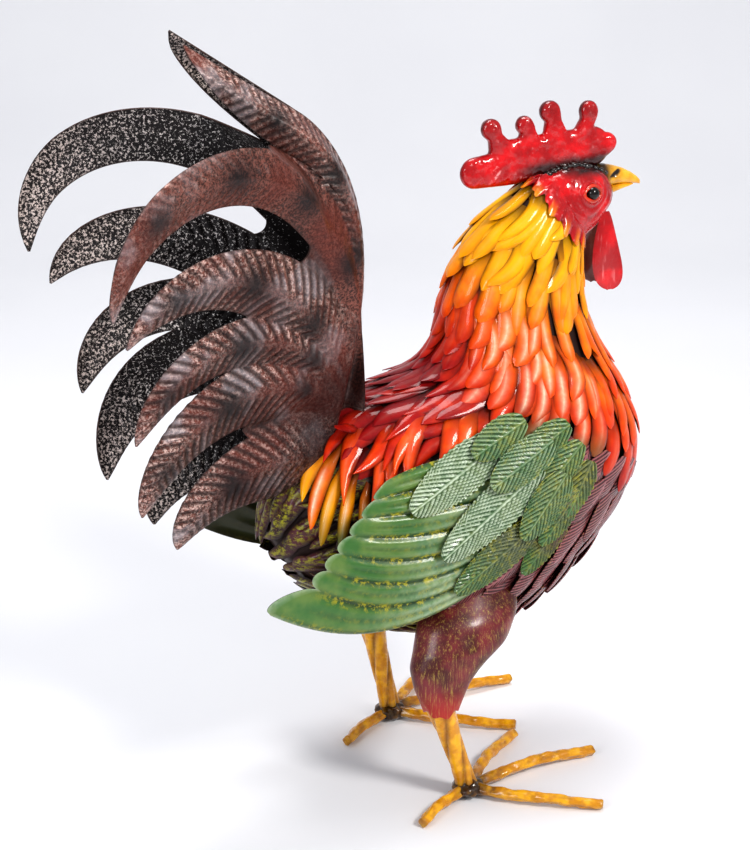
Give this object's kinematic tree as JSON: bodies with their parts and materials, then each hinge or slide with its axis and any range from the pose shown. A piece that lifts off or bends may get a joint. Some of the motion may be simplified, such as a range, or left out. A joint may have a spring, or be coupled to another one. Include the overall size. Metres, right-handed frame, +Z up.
{
  "type": "scrap metal rooster sculpture",
  "caption": "Standing rooster of painted sheet-steel feather strips over a shell, with pressed wings, a fanned sickle tail, a knobbed comb and hammered rod feet.",
  "frame": {"origin": "centre of the bounding box on the ground that the feet stand on", "axes": "+X the way the rooster faces, +Y to its left, +Z up"},
  "size_m": [0.497, 0.2958, 0.6414],
  "materials": {
    "body": "dull dark red enamel on sheet steel",
    "head": "glossy red enamel",
    "comb": "glossy red enamel with maroon points",
    "wattle": "glossy red enamel, brushed",
    "eye": "polished black bead",
    "beak": "yellow enamel",
    "hackle": "enamel blended from yellow to orange to red",
    "saddle": "deep red enamel",
    "breast": "plum enamel, dry-brushed yellow",
    "rump": "dark purple-brown enamel, dry-brushed",
    "wing": "green enamel, dry-brushed olive",
    "covert": "green enamel with pale embossed ribs",
    "tail": "copper-brown hammered speckle",
    "thigh": "plum enamel, dry-brushed ochre",
    "shank": "yellow enamel, brown in the folds",
    "toe": "ochre enamel on hammered rod",
    "weld": "blackened weld under ochre enamel"
  },
  "bodies": {
    "root": {"ankle_weld_left": "weld", "ankle_weld_right": "weld", "beak_lower": "beak", "beak_upper": "beak", "body_shell": "body", "breast_row_1": "breast", "breast_row_2": "breast", "breast_row_3": "breast", "breast_row_4": "breast", "comb": "comb", "covert_left_1": "covert", "covert_left_2": "covert", "covert_left_3": "covert", "covert_left_4": "covert", "covert_left_5": "covert", "covert_right_1": "covert", "covert_right_2": "covert", "covert_right_3": "covert", "covert_right_4": "covert", "covert_right_5": "covert", "eye_left": "eye", "eye_right": "eye", "hackle_strip_1": "hackle", "hackle_strip_2": "hackle", "hackle_strip_3": "hackle", "hackle_strip_4": "hackle", "hackle_strip_5": "hackle", "head": "head", "rump_strip_1": "rump", "rump_strip_2": "rump", "rump_strip_3": "rump", "saddle_strip_1": "saddle", "saddle_strip_2": "saddle", "saddle_strip_3": "saddle", "saddle_strip_4": "saddle", "shank_left": "shank", "shank_right": "shank", "tail_fan_left": "tail", "tail_fan_right": "tail", "thigh_left": "thigh", "thigh_right": "thigh", "toe_hind_left": "toe", "toe_hind_right": "toe", "toe_inner_left": "toe", "toe_inner_right": "toe", "toe_middle_left": "toe", "toe_middle_right": "toe", "toe_outer_left": "toe", "toe_outer_right": "toe", "wattle_left": "wattle", "wattle_right": "wattle", "wing_pan_left": "wing", "wing_pan_right": "wing"}
  },
  "joints": []
}
